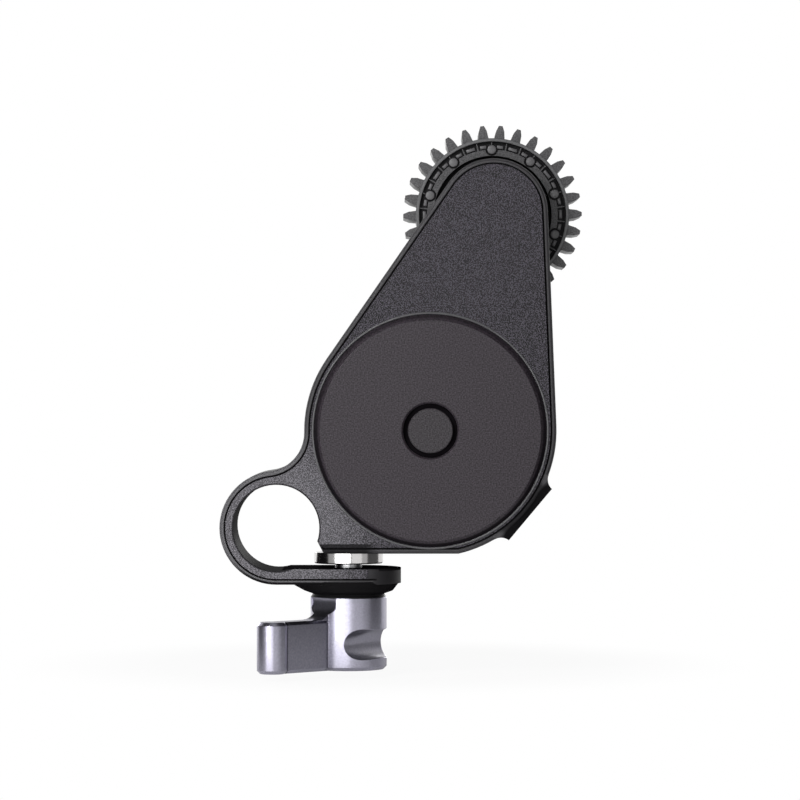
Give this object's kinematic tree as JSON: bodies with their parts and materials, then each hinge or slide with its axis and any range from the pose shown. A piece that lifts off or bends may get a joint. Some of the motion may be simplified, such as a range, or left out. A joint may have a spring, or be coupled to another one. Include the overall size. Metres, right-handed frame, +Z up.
{
  "type": "follow focus unit",
  "caption": "Motor driven follow focus unit: a round capped motor body with a centre button, an arm with a toothed drive gear and a rod clamp with a wing lever.",
  "frame": {"origin": "middle of the rod clamp's bore, halfway along it", "axes": "+Y along the support rod from the capped front to the rear cover, +Z up the arm, +X from the rod clamp towards the motor"},
  "size_m": [0.0516, 0.0306, 0.0778],
  "materials": {
    "housing_black": "fine sand textured black coat",
    "cap_black": "soft matte warm black",
    "button_black": "soft matte warm black",
    "gear_black": "moulded charcoal polymer, satin",
    "lever_alloy": "bead blasted and anodised cool grey",
    "polished_steel": "turned and polished stainless steel",
    "washer_black": "black low friction polymer",
    "drum_black": "satin black anodised",
    "steel": "ground steel",
    "screw_black": "blackened steel",
    "train_brass": "hobbed brass",
    "copper": "enamelled copper wire",
    "magnet": "nickel plated magnets",
    "board_green": "solder masked circuit board",
    "chip_black": "moulded packages"
  },
  "bodies": {
    "housing": {"main_housing": "housing_black", "rear_housing": "drum_black", "rear_cover": "drum_black", "rear_cover_screw_1": "screw_black", "rear_cover_screw_2": "screw_black", "rear_cover_screw_3": "screw_black", "motor_cap": "cap_black", "switch_board": "board_green", "switch_case": "chip_black", "idler_axle_1": "steel", "idler_axle_2": "steel", "output_bearing_1": "steel", "output_bearing_2": "steel", "motor_bearing_1": "steel", "motor_bearing_2": "steel", "stator_core": "steel", "stator_windings": "copper", "control_board": "board_green", "board_components": "chip_black", "port_shell": "steel", "port_tongue": "chip_black", "clamp_insert": "polished_steel"},
    "rotor": {"rotor_bell": "steel", "rotor_magnets": "magnet", "rotor_shaft": "steel", "motor_pinion": "steel"},
    "idler_1": {"idler_gear_1": "train_brass"},
    "idler_2": {"idler_gear_2": "train_brass"},
    "output": {"drive_gear": "gear_black", "output_shaft": "steel", "output_gear": "steel", "gear_washer": "screw_black", "gear_screw": "screw_black"},
    "button": {"button_cap": "button_black", "switch_plunger": "chip_black"},
    "washer": {"clamp_washer": "washer_black"},
    "lever": {"clamp_lever": "lever_alloy", "clamp_stud": "steel"}
  },
  "joints": [
    {"name": "rotor_spin", "type": "hinge", "parent": "housing", "child": "rotor", "pos_m": [0.02178, 0, 0.01374], "axis": [0, -1, 0], "continuous": true},
    {"name": "idler_1_spin", "type": "hinge", "parent": "housing", "child": "idler_1", "pos_m": [0.02288, 0, 0.02469], "axis": [0, -1, 0], "continuous": true},
    {"name": "idler_2_spin", "type": "hinge", "parent": "housing", "child": "idler_2", "pos_m": [0.02824, 0, 0.03598], "axis": [0, -1, 0], "continuous": true},
    {"name": "drive_gear_spin", "type": "hinge", "parent": "housing", "child": "output", "pos_m": [0.03075, 0, 0.04462], "axis": [0, -1, 0], "continuous": true},
    {"name": "button_press", "type": "slide", "parent": "housing", "child": "button", "axis": [0, 1, 0], "range_m": [0, 0.0005], "stiffness_N_per_m": 1500},
    {"name": "clamp_travel", "type": "slide", "parent": "housing", "child": "washer", "axis": [0, 0, 1], "range_m": [-0.000875, 0]},
    {"name": "lever_turn", "type": "hinge", "parent": "washer", "child": "lever", "pos_m": [0.01013, 0, 0], "axis": [0, 0, 1], "range_deg": [-450, 0]}
  ],
  "couplings": [
    {"joint": "idler_1_spin", "follows": "rotor_spin", "ratio": -0.375},
    {"joint": "idler_2_spin", "follows": "rotor_spin", "ratio": 0.14583},
    {"joint": "drive_gear_spin", "follows": "rotor_spin", "ratio": -0.072917},
    {"joint": "lever_turn", "follows": "clamp_travel", "rad_per_m": 8976}
  ]
}
